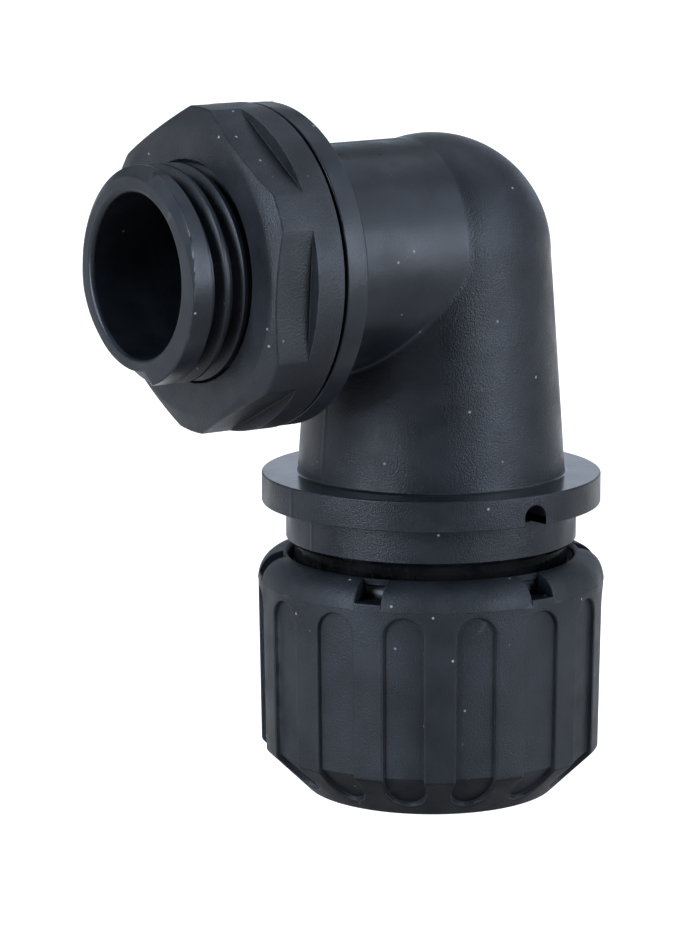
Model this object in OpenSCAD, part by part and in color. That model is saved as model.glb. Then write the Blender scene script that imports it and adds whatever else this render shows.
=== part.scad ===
// Right-angle cable gland with an M16 x 1.5 spigot: elbow body, lock nut, panel gasket, fluted cap nut
// and the sealing pieces inside the cap nut. Millimetres, +Z up.
// The tube and the cap nut stand on the Z axis, and the arm with the spigot points along -X.
// The origin is the middle of the cable mouth, in the lower face of the cap nut.

/* [Elbow] */
// Height of the arm's axis above the cable mouth
arm_height = 41.7; // [40.5:0.1:44]
// Diameter of the arm at the end flange
arm_d = 17; // [16.4:0.1:17.4]
// Diameter of the arm where it meets the bend
arm_root_d = 17.2; // [16.8:0.1:17.6]
// Diameter of the domed bend and of the top of the tube
bend_d = 18.1; // [17.8:0.1:19]
// Diameter of the tube at its foot
tube_foot_d = 20.5; // [19.5:0.1:21]
// Distance from the tube's axis to the back of the end flange
flange_back = 14.4; // [14:0.1:16]
// Diameter of the end flange
flange_d = 23.8; // [23:0.1:26]
// Thickness of the end flange
flange_t = 1.8; // [1.6:0.1:3]

/* [Spigot] */
// Outer diameter of the spigot thread
spigot_d = 15.9; // [15.8:0.02:15.96]
// Length of the spigot in front of the end flange
spigot_l = 10.4; // [9:0.1:12]
// Bore of the spigot and the arm
spigot_bore_d = 12; // [11:0.1:12.4]
// Pitch of both threads
pitch = 1.5; // [1.5]

/* [Collar and neck] */
// Height of the collar's upper face
collar_top = 24.7; // [24.4:0.1:26]
// Diameter of the wide collar
collar_d = 26; // [24:0.1:28]
// Thickness of the wide collar
collar_t = 2.3; // [2:0.1:3]
// Diameter of the lower collar band
band_d = 22.3; // [22:0.1:23]
// Height of the lower collar band
band_h = 3; // [2.6:0.1:3.1]
// Diameter of the smooth neck
neck_d = 21; // [20.8:0.1:21.2]
// Width of the notch in the wide collar
notch_w = 2; // [1.4:0.1:2.6]
// Height of the notch
notch_h = 1.55; // [1.4:0.05:1.9]

/* [Cap nut] */
// Largest diameter of the cap nut
nut_d = 26.6; // [26:0.1:29]
// Height at which the round shoulder starts
shoulder_start = 16.4; // [16.2:0.1:16.6]
// Radius of the round shoulder
shoulder_r = 2; // [1.6:0.1:2]
// Height of the large lower chamfer
base_chamfer = 3.4; // [2.8:0.1:4]
// Diameter of the flat lower face
base_d = 19.2; // [18.4:0.1:20]
// Diameter of the cable mouth
mouth_d = 13.5; // [12:0.1:14]
// Number of grip recesses
recess_count = 15; // [12:3:18]
// Width of a grip recess
recess_w = 3.1; // [2:0.1:3.4]
// Depth of a grip recess
recess_depth = 0.38; // [0.2:0.02:0.6]
// Number of slots in the shoulder
slot_count = 6; // [3:1:8]
// Width of a shoulder slot
slot_w = 2.1; // [1.4:0.1:2.6]
// Turn of the cap nut about its axis
nut_turn = 2.5; // [0:0.5:24]

/* [Lock nut] */
// Width across the flats
lock_af = 22; // [21:0.1:22.4]
// Diameter of the round rim
lock_d = 23.95; // [23:0.05:24.6]
// Overall thickness
lock_t = 5.4; // [4.6:0.1:6]
// Thickness of the round rim behind the flats
lock_rim_t = 2.3; // [1.6:0.1:2.6]
// Turn of the lock nut about its axis
lock_turn = 56; // [0:1:59]

/* [Inside] */
// Diameter of the cable hole in the sealing insert
seal_bore_d = 11; // [9:0.1:11.4]
// Number of fingers on the clamping cage
finger_count = 12; // [8:1:14]
// Diameter of the thread for the cap nut
body_thread_d = 19.9; // [19.8:0.02:19.96]

/* [Hidden] */
$fn = 96;
eps = 0.01;
past = 1;

// Thread form, the same on both threads: a trapezoid with blunt crests. The flank value is the axial
// run for each millimetre of depth, and the inner thread keeps a gap all round.
thread_depth = 0.9;
crest_half = 0.16;
flank = 0.51;
flank_length = 1.12;
thread_gap = 0.12;
inner_crest_cut = 0.1;
thread_reach = 0.15;
thread_steps = 36;
undercut_depth = 0.15;

// Places along the arm, as distances from the tube's axis
flange_front = flange_back + flange_t;
spigot_end = flange_front + spigot_l;
lock_stand_off = 0.3;
lock_back = flange_front + lock_stand_off;
lock_front = lock_back + lock_t;
lock_cone_h = 0.5;
lock_cone_inset = 0.8;
lock_bore_play = 0.3;
countersink = 0.5;
gasket_seat = 0.9;
gasket_gap = 0.05;
gasket_play = 0.2;
gasket_d = 21.2;
undercut_l = 0.9;
spigot_chamfer = 0.15;
spigot_groove_turn = 215;
spigot_thread_start = flange_front + undercut_l;
spigot_groove_start = spigot_thread_start - pitch / 4;
// The groove's last turn is missing over one side of the spigot, which leaves a plain band between these
// angles. In front of the band's lower end the thread is open to the end face.
spigot_last_turn = 6;
band_from = 195;
band_to = 345;
entry_from = 100;
entry_to = 190;
entry_overlap = 10;
entry_depth = 0.75;
entry_l = 1;

// Heights along the tube
collar_bottom = collar_top - collar_t;
band_bottom = collar_bottom - band_h;
neck_bottom = 16;
body_end = 9.6;
body_groove_start = body_end - pitch / 2;
body_undercut = 0.8;
band_edge = 0.25;
notch_inset = 1.25;
dome_drop = 0.2;
socket_top = 14.6;
socket_d = 16.6;
tube_bore_d = 14;

// O-ring on the neck, between the neck and the cap nut's rim
o_ring_z = 17.05;
o_ring_wire_d = 1.24;
o_ring_d = 20.4;
o_ring_groove_w = 1.4;
o_ring_groove_d = 19;

// Inside of the cap nut
rim_top = 18.1;
rim_edge = 0.15;
rim_bore_d = 21.9;
rim_bore_bottom = 14.7;
mouth_l = 2;
nut_bore_d = 18.5;
slot_bottom = 16.88;
slot_inner_d = 22.8;
slot_window_top = 17.95;
recess_top = 15.92;
recess_bottom = 0.8;
wall_taper = 0.2;

// Sealing pieces
washer_bottom = 2.05;
washer_t = 0.95;
washer_d = 18.1;
washer_bore_d = 13.7;
washer_seat_d = 15.8;
cage_bore_d = 14.7;
cage_ring_d = 16.4;
cage_collar_d = 18;
cage_collar_bottom = 8.5;
cage_collar_top = 9.5;
cage_top = 13;
finger_tip = 4.25;
finger_tip_d = 16.4;
finger_slit = 0.6;
finger_slit_top = 8.2;
seal_d = 14.5;
seal_bottom = 4.4;
seal_top = 14.5;
seal_head_bottom = 13.1;
seal_head_d = 16.3;

// Turns the children from the Z axis onto the arm: their +Z becomes -X
module along_arm() {
    translate([0, 0, arm_height])
        rotate([0, -90, 0])
            children();
}

// Ring about the Z axis with a plain bore
module ring(outer_d, inner_d, bottom, top) {
    difference() {
        translate([0, 0, bottom])
            cylinder(d = outer_d, h = top - bottom);
        translate([0, 0, bottom - past])
            cylinder(d = inner_d, h = top - bottom + 2 * past);
    }
}

// Right-hand helical bar with a trapezoid section, from height 0 upwards. It cuts the threads.
module helix_bar(inner_r, outer_r, inner_half, outer_half, turns) {
    sections = ceil(turns * thread_steps);
    points = [
        for (i = [0 : sections])
            let (a = 360 * i / thread_steps, z = pitch * i / thread_steps)
                each [
                    [inner_r * cos(a), inner_r * sin(a), z - inner_half],
                    [outer_r * cos(a), outer_r * sin(a), z - outer_half],
                    [outer_r * cos(a), outer_r * sin(a), z + outer_half],
                    [inner_r * cos(a), inner_r * sin(a), z + inner_half]
                ]
    ];
    sides = [
        for (i = [0 : sections - 1], k = [0 : 3])
            let (a = 4 * i + k, b = 4 * i + (k + 1) % 4)
                each [[a, b, b + 4], [a, b + 4, a + 4]]
    ];
    last = 4 * sections;
    ends = [[3, 2, 1, 0], [last, last + 1, last + 2, last + 3]];
    polyhedron(points = points, faces = concat(sides, ends), convexity = 10);
}

// Groove of an outer thread of radius r: wide at the crest, narrow at the root
module outer_thread_groove(r, turns) {
    crest_gap = pitch / 2 - crest_half;
    root_gap = crest_gap - thread_depth * flank;
    outer_gap = crest_gap + thread_reach * flank;
    helix_bar(r - thread_depth, r + thread_reach, root_gap, outer_gap, turns);
}

// Groove of the matching inner thread: it holds the outer thread's ridge with thread_gap all round
module inner_thread_groove(r, turns) {
    outer_r = r + thread_gap;
    outer_half = crest_half + thread_gap * (flank_length - flank);
    depth = thread_depth + thread_gap - inner_crest_cut;
    helix_bar(outer_r - depth, outer_r, outer_half + depth * flank, outer_half, turns);
}

// Cylinder with an outer thread between two heights
module outer_thread(d, bottom, top, groove_start, turn, turns) {
    difference() {
        translate([0, 0, bottom])
            cylinder(d = d, h = top - bottom);
        translate([0, 0, groove_start])
            rotate([0, 0, turn])
                outer_thread_groove(d / 2, turns);
    }
}

// Threaded end of the arm. The thread starts at the open entry, and a plain band takes the place of the
// groove's last turn on the side facing away from the entry.
module spigot() {
    undercut_d = spigot_d - 2 * (thread_depth + undercut_depth);
    end_d = spigot_d - 2 * spigot_chamfer;
    turns = spigot_last_turn + (band_from - spigot_groove_turn) / 360;
    turns_to_band_end = spigot_last_turn + (band_to - spigot_groove_turn) / 360;
    difference() {
        union() {
            translate([0, 0, flange_back])
                cylinder(d = undercut_d, h = flange_t + undercut_l + pitch / 2);
            outer_thread(spigot_d, spigot_thread_start, spigot_end, spigot_groove_start,
                         spigot_groove_turn, turns);
        }
        translate([0, 0, spigot_groove_start + pitch * turns_to_band_end])
            rotate([0, 0, band_to])
                outer_thread_groove(spigot_d / 2, (entry_from + entry_overlap + 360 - band_to) / 360);
        thread_entry();
        translate([0, 0, spigot_end - spigot_chamfer])
            difference() {
                cylinder(d = spigot_d + past, h = past);
                translate([0, 0, -eps])
                    cylinder(d1 = spigot_d + 2 * eps, d2 = end_d, h = spigot_chamfer + 2 * eps);
            }
    }
}

// Sector cut off the spigot's end, where the lock nut's thread goes in
module thread_entry() {
    translate([0, 0, spigot_end - entry_l])
        rotate([0, 0, entry_from])
            rotate_extrude(angle = entry_to - entry_from)
                translate([spigot_d / 2 - entry_depth, 0])
                    square([entry_depth + past, entry_l + past]);
}

module arm() {
    cylinder(d1 = arm_root_d, d2 = arm_d, h = flange_back);
    difference() {
        translate([0, 0, flange_back - eps])
            cylinder(d = flange_d, h = flange_t + eps);
        translate([0, 0, flange_front - gasket_seat])
            cylinder(d = gasket_d + gasket_play, h = past);
    }
    spigot();
}

module tube() {
    foot = collar_top - eps;
    translate([0, 0, foot])
        cylinder(d1 = tube_foot_d, d2 = bend_d, h = arm_height - foot);
    translate([0, 0, arm_height - dome_drop])
        sphere(d = bend_d);
}

module collar_notch() {
    radius = notch_w / 2;
    translate([0, -band_d / 2 + notch_inset, collar_bottom - eps])
        rotate([90, 0, 0])
            linear_extrude(collar_d)
                union() {
                    translate([-radius, 0])
                        square([notch_w, notch_h - radius]);
                    translate([0, notch_h - radius])
                        circle(r = radius);
                }
}

module collars() {
    difference() {
        translate([0, 0, collar_bottom])
            cylinder(d = collar_d, h = collar_t);
        collar_notch();
    }
    translate([0, 0, band_bottom + band_edge])
        cylinder(d = band_d, h = band_h);
    translate([0, 0, band_bottom])
        cylinder(d1 = band_d - 2 * band_edge, d2 = band_d, h = band_edge + eps);
}

module neck() {
    groove_bottom = o_ring_z - o_ring_groove_w / 2;
    difference() {
        translate([0, 0, neck_bottom])
            cylinder(d = neck_d, h = band_bottom - neck_bottom + eps);
        ring(neck_d + past, o_ring_groove_d, groove_bottom, groove_bottom + o_ring_groove_w);
    }
}

// Outer thread for the cap nut, with an undercut below the neck
module body_thread() {
    thread_top = neck_bottom - body_undercut;
    turns = (thread_top - body_end) / pitch + 1;
    translate([0, 0, thread_top - pitch / 2])
        cylinder(d = body_thread_d - 2 * (thread_depth + undercut_depth), h = pitch / 2 + body_undercut + eps);
    outer_thread(body_thread_d, body_end, thread_top, body_groove_start, 0, turns);
}

module elbow_body() {
    color("#26272a")
        difference() {
            union() {
                tube();
                along_arm() arm();
                collars();
                neck();
                body_thread();
            }
            along_arm()
                cylinder(d = spigot_bore_d, h = spigot_end + past);
            translate([0, 0, body_end - past])
                cylinder(d = socket_d, h = socket_top - body_end + past);
            cylinder(d = tube_bore_d, h = arm_height);
            translate([0, 0, arm_height])
                sphere(d = tube_bore_d);
        }
}

module lock_nut() {
    bore_d = spigot_d - 2 * thread_depth + lock_bore_play;
    mouth_wide_d = spigot_d + 2 * thread_gap + lock_bore_play;
    mouth_h = countersink + thread_depth;
    turns_before = 2;
    turns = turns_before + 5;
    color("#222326")
        along_arm()
            difference() {
                union() {
                    translate([0, 0, lock_back])
                        cylinder(d = lock_d, h = lock_rim_t);
                    intersection() {
                        translate([0, 0, lock_back])
                            rotate([0, 0, lock_turn])
                                cylinder(d = lock_af / cos(30), h = lock_t, $fn = 6);
                        lock_nut_outline();
                    }
                }
                translate([0, 0, lock_back - past])
                    cylinder(d = bore_d, h = lock_t + 2 * past);
                translate([0, 0, spigot_groove_start + pitch / 2 - turns_before * pitch])
                    rotate([0, 0, spigot_groove_turn])
                        inner_thread_groove(spigot_d / 2, turns);
                translate([0, 0, lock_back - eps])
                    cylinder(d1 = mouth_wide_d, d2 = bore_d, h = mouth_h);
                translate([0, 0, lock_front - mouth_h + eps])
                    cylinder(d1 = bore_d, d2 = mouth_wide_d, h = mouth_h);
            }
}

// Round outline of the lock nut with the shallow cone on its front face
module lock_nut_outline() {
    translate([0, 0, lock_back])
        cylinder(d = lock_d, h = lock_t - lock_cone_h);
    translate([0, 0, lock_front - lock_cone_h - eps])
        cylinder(d1 = lock_d, d2 = lock_af - lock_cone_inset, h = lock_cone_h + eps);
}

module panel_gasket() {
    back = flange_front - gasket_seat + gasket_gap;
    color("#1b1b1c")
        along_arm()
            ring(gasket_d, spigot_d + gasket_play, back, lock_back - gasket_gap);
}

// Round shoulder of the cap nut in the radius-height plane
function shoulder_arc(steps) = [
    for (i = [0 : steps])
        let (a = 90 * i / steps)
            [nut_d / 2 - shoulder_r + shoulder_r * cos(a), shoulder_start + shoulder_r * sin(a)]
];

// Outline of the cap nut in the radius-height plane, without its bores
module cap_nut_outline() {
    inner = rim_bore_d / 2;
    polygon(concat(
        [[0, 0], [base_d / 2, 0], [nut_d / 2 - wall_taper, base_chamfer]],
        shoulder_arc(9),
        [[inner + 2 * rim_edge, rim_top + rim_edge], [inner + rim_edge, rim_top], [0, rim_top]]
    ));
}

// Space outside the floors of the grip recesses, in the radius-height plane
module recess_space() {
    wall_r = nut_d / 2 - wall_taper;
    run = wall_r - base_d / 2;
    slope = sqrt(run * run + base_chamfer * base_chamfer);
    shift_r = recess_depth * base_chamfer / slope;
    shift_z = recess_depth * run / slope;
    corner_z = shift_z + base_chamfer * (run - recess_depth + shift_r) / run;
    polygon([
        [base_d / 2 - shift_r - run, shift_z - base_chamfer],
        [wall_r - recess_depth, corner_z],
        [nut_d / 2 - recess_depth, shoulder_start],
        [nut_d, shoulder_start],
        [nut_d, shift_z - base_chamfer]
    ]);
}

module grip_recess() {
    radius = recess_w / 2;
    intersection() {
        rotate([90, 0, 0])
            linear_extrude(nut_d)
                stadium(radius, recess_bottom, recess_top);
        rotate_extrude()
            recess_space();
    }
}

// Slot across the shoulder. Below the rim it goes right through into the bore.
module shoulder_slot() {
    above = slot_bottom + 2 * shoulder_r;
    outside = -nut_d;
    rim_wall = -slot_inner_d / 2;
    inside = -rim_bore_d / 2 + past;
    rotate([90, 0, 90])
        translate([0, 0, -slot_w / 2])
            linear_extrude(height = slot_w)
                polygon([[outside, slot_bottom], [inside, slot_bottom], [inside, slot_window_top],
                         [rim_wall, slot_window_top], [rim_wall, above], [outside, above]]);
}

// Upright slot outline with round ends between two heights
module stadium(radius, low, high) {
    translate([-radius, low + radius])
        square([2 * radius, high - low - 2 * radius]);
    translate([0, low + radius])
        circle(r = radius);
    translate([0, high - radius])
        circle(r = radius);
}

module cap_nut() {
    turns_before = 2;
    turns = turns_before + 4;
    color("#303236")
        difference() {
            rotate_extrude()
                cap_nut_outline();
            rotate([0, 0, nut_turn]) {
                for (i = [0 : recess_count - 1])
                    rotate([0, 0, 360 * i / recess_count])
                        grip_recess();
                for (i = [0 : slot_count - 1])
                    rotate([0, 0, 360 * i / slot_count])
                        shoulder_slot();
            }
            translate([0, 0, -past])
                cylinder(d = mouth_d, h = mouth_l + 2 * past);
            translate([0, 0, mouth_l])
                cylinder(d = nut_bore_d, h = rim_top);
            translate([0, 0, rim_bore_bottom])
                cylinder(d = rim_bore_d, h = rim_top);
            translate([0, 0, body_groove_start + pitch / 2 - turns_before * pitch])
                inner_thread_groove(body_thread_d / 2, turns);
        }
}

module neck_o_ring() {
    color("#141415")
        translate([0, 0, o_ring_z])
            rotate_extrude()
                translate([o_ring_d / 2, 0])
                    circle(d = o_ring_wire_d, $fn = 24);
}

module slip_washer() {
    color("#d8d6cf")
        difference() {
            ring(washer_d, washer_bore_d, washer_bottom, washer_bottom + washer_t);
            translate([0, 0, washer_bottom + washer_t / 2])
                cylinder(d1 = washer_bore_d, d2 = washer_seat_d, h = washer_t / 2 + eps);
        }
}

module clamping_cage() {
    outline = [
        [cage_bore_d / 2, finger_tip],
        [finger_tip_d / 2, finger_tip],
        [cage_collar_d / 2, cage_collar_bottom],
        [cage_collar_d / 2, cage_collar_top],
        [cage_ring_d / 2, cage_collar_top],
        [cage_ring_d / 2, cage_top],
        [cage_bore_d / 2, cage_top]
    ];
    color("#2a2b2e")
        difference() {
            rotate_extrude()
                polygon(outline);
            for (i = [0 : finger_count - 1])
                rotate([0, 0, 360 * (i + 0.5) / finger_count])
                    translate([-finger_slit / 2, -cage_collar_d, finger_tip - past])
                        cube([finger_slit, cage_collar_d, finger_slit_top - finger_tip + past]);
        }
}

module sealing_insert() {
    color("#171718")
        difference() {
            union() {
                translate([0, 0, seal_bottom])
                    cylinder(d = seal_d, h = seal_head_bottom - seal_bottom + eps);
                translate([0, 0, seal_head_bottom])
                    cylinder(d = seal_head_d, h = seal_top - seal_head_bottom);
            }
            translate([0, 0, seal_bottom - past])
                cylinder(d = seal_bore_d, h = seal_top - seal_bottom + 2 * past);
        }
}

elbow_body();
lock_nut();
panel_gasket();
cap_nut();
neck_o_ring();
slip_washer();
clamping_cage();
sealing_insert();
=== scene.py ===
"""Right-angle cable gland: the looks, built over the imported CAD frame. Lengths are in mm unless said."""

import math

import bpy
import numpy as np
from mathutils import Matrix, Vector


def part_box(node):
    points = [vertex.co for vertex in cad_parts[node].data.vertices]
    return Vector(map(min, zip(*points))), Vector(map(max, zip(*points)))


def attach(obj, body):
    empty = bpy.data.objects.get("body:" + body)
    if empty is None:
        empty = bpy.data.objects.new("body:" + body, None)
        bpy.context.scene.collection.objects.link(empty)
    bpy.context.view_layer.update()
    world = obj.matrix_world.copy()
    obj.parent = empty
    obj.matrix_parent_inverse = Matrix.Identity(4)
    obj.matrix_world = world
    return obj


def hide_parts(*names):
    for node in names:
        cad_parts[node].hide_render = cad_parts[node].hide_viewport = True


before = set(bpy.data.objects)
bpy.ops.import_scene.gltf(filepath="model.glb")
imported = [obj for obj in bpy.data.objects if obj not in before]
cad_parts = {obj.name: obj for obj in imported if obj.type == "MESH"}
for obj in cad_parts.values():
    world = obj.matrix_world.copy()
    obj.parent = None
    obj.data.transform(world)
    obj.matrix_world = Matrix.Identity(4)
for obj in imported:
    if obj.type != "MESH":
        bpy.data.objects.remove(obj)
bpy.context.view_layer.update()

MM = 0.001
TAU = 2 * math.pi


# ---------------------------------------------------------------- places, read from the frame
def box_mm(node):
    """Low and high corner of a CAD node's box."""
    low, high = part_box(node)
    return np.array(low) / MM, np.array(high) / MM


LOCK_LOW, LOCK_HIGH = box_mm("lock_nut")
ARM_Z = (LOCK_LOW[2] + LOCK_HIGH[2]) / 2
SPIGOT_END = -box_mm("elbow_body")[0][0]
LOCK_FRONT, LOCK_BACK = -LOCK_LOW[0], -LOCK_HIGH[0]
LOCK_R = (LOCK_HIGH[2] - LOCK_LOW[2]) / 2
NUT_R = box_mm("cap_nut")[1][0]

# The rest repeats the CAD's own sizes. Threads:
PITCH = 1.5
THREAD_DEPTH = 0.9
THREAD_GAP = 0.12
CREST_HALF = 0.16
NUT_CREST_HALF = 0.234
FLANK = 0.51
UNDERCUT = 0.15
# Elbow body
FLANGE_BACK, FLANGE_FRONT, FLANGE_R = 14.4, 16.2, 11.9
SEAT_R, SEAT_DEPTH = 10.7, 0.9
ARM_R, ARM_ROOT_R = 8.5, 8.6
BEND_R, TUBE_FOOT_R = 9.05, 10.25
BEND_Z = ARM_Z - 0.2
COLLAR_TOP, COLLAR_BOTTOM = 24.7, 22.4
COLLAR_R, BAND_R, NECK_R = 13.0, 11.15, 10.5
BAND_BOTTOM, NECK_BOTTOM, BODY_END = 19.4, 16.0, 9.6
RING_GROOVE_R, RING_GROOVE_BOTTOM, RING_GROOVE_TOP = 9.5, 16.35, 17.75
BODY_THREAD_R, BODY_THREAD_TOP = 9.95, 15.2
NOTCH_R = BAND_R - 1.25
SPIGOT_R, SPIGOT_BORE = 7.95, 6.0
TUBE_BORE, SOCKET_R, SOCKET_TOP = 7.0, 8.3, 14.6
SPIGOT_THREAD_START = FLANGE_FRONT + 0.9
SPIGOT_GROOVE = SPIGOT_THREAD_START - PITCH / 4
SPIGOT_TURN = math.radians(215)
LAST_TURN = 6
BAND_FROM, BAND_TO = math.radians(195), math.radians(345)
ENTRY_FROM, ENTRY_TO = math.radians(100), math.radians(190)
# Lock nut
LOCK_TURN, LOCK_AF, LOCK_RIM_T = math.radians(56), 22.0, 2.3
# Cap nut
NUT_TURN, GRIPS, SLOTS = math.radians(2.5), 15, 6
SHOULDER_START, SHOULDER_R = 16.4, 2
CHAMFER_FOOT_R, CHAMFER_TOP_R, CHAMFER_TOP = 9.6, 13.1, 3.4
NUT_BORE_R, FOOT_BORE_R, FOOT_T = 9.25, 6.75, 2.0
NUT_THREAD_BOTTOM, NUT_THREAD_TOP, NUT_THREAD_MOUTH_R = 6.7, 14.62, 10.12
RIM_BORE_R, RIM_FLOOR = 10.95, 14.7
SLOT_R, SLOT_HALF, SLOT_BOTTOM, SLOT_WINDOW_TOP = 11.4, 1.05, 16.88, 17.95
RECESS_LOW, RECESS_HIGH, RECESS_R, RECESS_D = 0.8, 15.92, 1.55, 0.38
CELL_LOW, CELL_HIGH = 0.3, 16.3

# Mould seams: how far they stand out, half the width of their top, and half the width of their foot
SEAM_H, SEAM_HALF, SEAM_EDGE = 0.03, 0.09, 0.2
# Points closer than this become one, and faces that turn more than this keep a sharp edge between them
MERGE = 2e-4
SHARP = math.cos(math.radians(38))


# ---------------------------------------------------------------- profiles
def unit(v):
    """The vector at length 1."""
    return v / np.linalg.norm(v)


def rounded(corners, steps=4):
    """Polyline through (a, b, radius) corners, with each corner rounded to its radius."""
    pts = [np.array(c[:2], float) for c in corners]
    out = [pts[0]]
    for i in range(1, len(pts) - 1):
        radius = corners[i][2] if len(corners[i]) > 2 else 0
        back, ahead = pts[i - 1] - pts[i], pts[i + 1] - pts[i]
        if radius == 0:
            out.append(pts[i])
            continue
        u, v = unit(back), unit(ahead)
        half = math.acos(np.clip(u @ v, -1, 1)) / 2
        reach = min(radius / math.tan(half), 0.45 * np.linalg.norm(back), 0.45 * np.linalg.norm(ahead))
        radius = reach * math.tan(half)
        centre = pts[i] + unit(u + v) * radius / math.sin(half)
        first, last = pts[i] + u * reach - centre, pts[i] + v * reach - centre
        sweep = math.pi - 2 * half
        for k in range(steps + 1):
            t = k / steps
            turned = first * math.sin((1 - t) * sweep) + last * math.sin(t * sweep)
            out.append(centre + turned / math.sin(sweep))
    out.append(pts[-1])
    return np.array(out)


def along(a, b, n):
    """n + 1 evenly spaced points from a to b."""
    return [tuple(np.array(a) + (np.array(b) - np.array(a)) * k / n) for k in range(n + 1)]


# ---------------------------------------------------------------- the two axes
def tube_point(r, h, angle):
    """A point about the Z axis. Angle 0 is -Y and a quarter turn is +X."""
    return np.stack(np.broadcast_arrays(r * np.sin(angle), -r * np.cos(angle), h), -1)


def arm_point(r, h, angle):
    """A point about the arm's axis, h along -X. Angle 0 is +Z and a quarter turn is +Y."""
    return np.stack(np.broadcast_arrays(-h, r * np.sin(angle), ARM_Z + r * np.cos(angle)), -1)


def spin(profile, angles, place, lift=None):
    """Grid of points: a profile of (radius, height) turned through the angles. lift raises the radius."""
    profile = np.asarray(profile, float)
    r = profile[None, :, 0] + (0 if lift is None else lift[:, None])
    return place(r, profile[None, :, 1], np.asarray(angles)[:, None])


def round_angles(n):
    """n even steps round, with both ends."""
    return np.linspace(0, TAU, n + 1)


def seam_angles(n, seams, half, edge):
    """Even angles, with four more at each mould seam, and the seam's height there from 0 to 1."""
    angles = set(np.round(np.linspace(0, TAU, n + 1), 9))
    for s in seams:
        clear = edge * 1.2
        angles = {a for a in angles if abs((a - s + math.pi) % TAU - math.pi) > clear or a in (0, TAU)}
        angles |= {(s + d) % TAU for d in (-edge, -half, 0, half, edge)}
    angles |= {0.0, TAU}
    angles = np.array(sorted(angles))
    lift = np.zeros(len(angles))
    for s in seams:
        away = np.abs((angles - s + math.pi) % TAU - math.pi)
        lift = np.maximum(lift, np.clip((edge - away) / (edge - half), 0, 1))
    return angles, lift


# ---------------------------------------------------------------- mesh building
def grid_quads(index):
    """Faces between neighbours in a grid of point numbers."""
    return np.stack([index[:-1, :-1], index[1:, :-1], index[1:, 1:], index[:-1, 1:]], -1).reshape(-1, 4)


class Shell:
    """Collects grids of points and makes one mesh of them, with normals that keep flat faces flat."""

    def __init__(self):
        self.points, self.faces, self.count = [], [], 0

    def add(self, points, faces):
        self.points.append(np.asarray(points, float).reshape(-1, 3))
        self.faces.append(np.asarray(faces) + self.count)
        self.count += len(self.points[-1])

    def grid(self, points, flip=False, closed=False):
        """A surface through rows of points. flip turns it over, and closed joins the last row to the first."""
        index = np.arange(points.shape[0] * points.shape[1]).reshape(points.shape[:2])
        if closed:
            index = np.vstack([index, index[:1]])
        quads = grid_quads(index)
        self.add(points, quads[:, ::-1] if flip else quads)

    def build(self, name, finish=None):
        """Makes the object. finish(centres, normals) gives each face's material number."""
        points = np.concatenate(self.points)
        faces = np.concatenate(self.faces)
        key = np.round(points / MERGE).astype(np.int64)
        _, first, inverse = np.unique(key, axis=0, return_index=True, return_inverse=True)
        inverse = inverse.reshape(-1)
        points, faces = points[first], inverse[faces]
        # Quads with two equal neighbours become triangles, and thinner faces go
        same = faces == np.roll(faces, -1, axis=1)
        whole = faces[~same.any(1)]
        tris = []
        for k in range(4):
            only = same[:, k] & (same.sum(1) == 1)
            tris.append(faces[only][:, [j for j in range(4) if j != k]])
        tris = np.concatenate(tris)
        tris = tris[(tris[:, 0] != tris[:, 1]) & (tris[:, 1] != tris[:, 2]) & (tris[:, 0] != tris[:, 2])]
        whole = whole[(whole[:, 0] != whole[:, 2]) & (whole[:, 1] != whole[:, 3])]
        corners = np.concatenate([whole.reshape(-1), tris.reshape(-1)])
        totals = np.concatenate([np.full(len(whole), 4), np.full(len(tris), 3)])
        starts = np.concatenate([[0], np.cumsum(totals)[:-1]])
        vector = np.concatenate([
            np.cross(points[whole[:, 2]] - points[whole[:, 0]], points[whole[:, 3]] - points[whole[:, 1]]),
            np.cross(points[tris[:, 1]] - points[tris[:, 0]], points[tris[:, 2]] - points[tris[:, 0]]),
        ])
        size = np.linalg.norm(vector, axis=1)
        flat = vector / np.maximum(size, 1e-12)[:, None]
        owner = np.repeat(np.arange(len(totals)), totals)
        # Each corner's normal: the mean, by area, of the faces at its point that turn little from its own
        order = np.argsort(corners, kind="stable")
        degree = np.bincount(corners, minlength=len(points))
        offset = np.concatenate([[0], np.cumsum(degree)[:-1]])
        reps = degree[corners]
        corner = np.repeat(np.arange(len(corners)), reps)
        step = np.arange(reps.sum()) - np.repeat(np.concatenate([[0], np.cumsum(reps)[:-1]]), reps)
        other = owner[order[offset[corners[corner]] + step]]
        close = np.einsum("ij,ij->i", flat[owner[corner]], flat[other]) > SHARP
        corner, other = corner[close], other[close]
        normal = np.stack([np.bincount(corner, vector[other, k], len(corners)) for k in range(3)], -1)
        length = np.linalg.norm(normal, axis=1)
        even = normal / np.maximum(length, 1e-12)[:, None]
        normal = np.where(length[:, None] > 1e-12, even, flat[owner])
        mesh = bpy.data.meshes.new(name)
        mesh.vertices.add(len(points))
        mesh.vertices.foreach_set("co", (points * MM).astype(np.float32).reshape(-1))
        mesh.loops.add(len(corners))
        mesh.loops.foreach_set("vertex_index", corners.astype(np.int32))
        mesh.polygons.add(len(totals))
        mesh.polygons.foreach_set("loop_start", starts.astype(np.int32))
        mesh.polygons.foreach_set("loop_total", totals.astype(np.int32))
        mesh.polygons.foreach_set("use_smooth", np.ones(len(totals), bool))
        if finish is not None:
            centre = np.add.reduceat(points[corners], starts) / totals[:, None]
            mesh.polygons.foreach_set("material_index", finish(centre, flat).astype(np.int32))
        mesh.update(calc_edges=True)
        mesh.normals_split_custom_set(normal.tolist())
        piece = bpy.data.objects.new(name, mesh)
        bpy.context.scene.collection.objects.link(piece)
        return piece


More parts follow.
